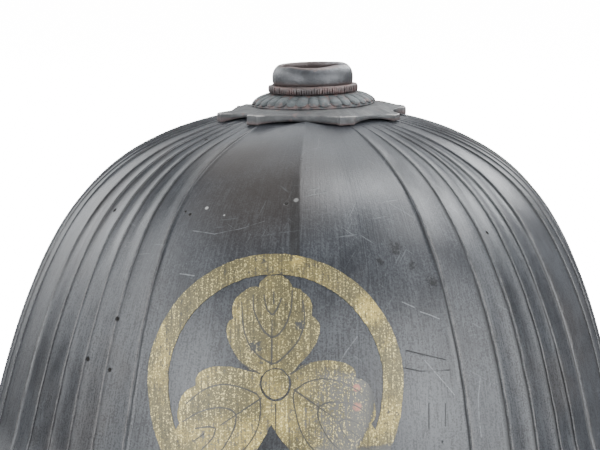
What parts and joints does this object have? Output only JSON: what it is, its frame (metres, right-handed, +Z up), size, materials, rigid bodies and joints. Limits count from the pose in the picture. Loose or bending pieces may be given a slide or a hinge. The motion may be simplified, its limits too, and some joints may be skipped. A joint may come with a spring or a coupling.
{
  "type": "samurai war hat with crown fitting",
  "caption": "Lacquered iron war hat: tall bowl with overlapping ribs, flared brim, open crown hole in a stepped copper fitting.",
  "frame": {"origin": "middle of the flat rim, on the surface that the hat rests on", "axes": "+Z up through the crown, -Y towards the front with the crest, +X to the wearer's left"},
  "size_m": [0.2998, 0.312, 0.1613],
  "materials": {
    "black_lacquer": "blue-black lacquer on iron, satin, worn and scratched",
    "brown_copper": "dark grey-brown patina, worn to red copper on its edges",
    "blue_copper": "blue-grey and green patina with red in the grooves",
    "red_copper": "red-brown copper, dull",
    "grey_copper": "steel-grey patina, rubbed bright, copper red inside",
    "gold_lacquer": "gold powder in lacquer, rubbed thin and speckled"
  },
  "bodies": {
    "root": {"bowl": "black_lacquer", "base_plate": "brown_copper", "petal_ring": "blue_copper", "milled_collar": "red_copper", "crown_ring": "grey_copper"}
  },
  "joints": []
}
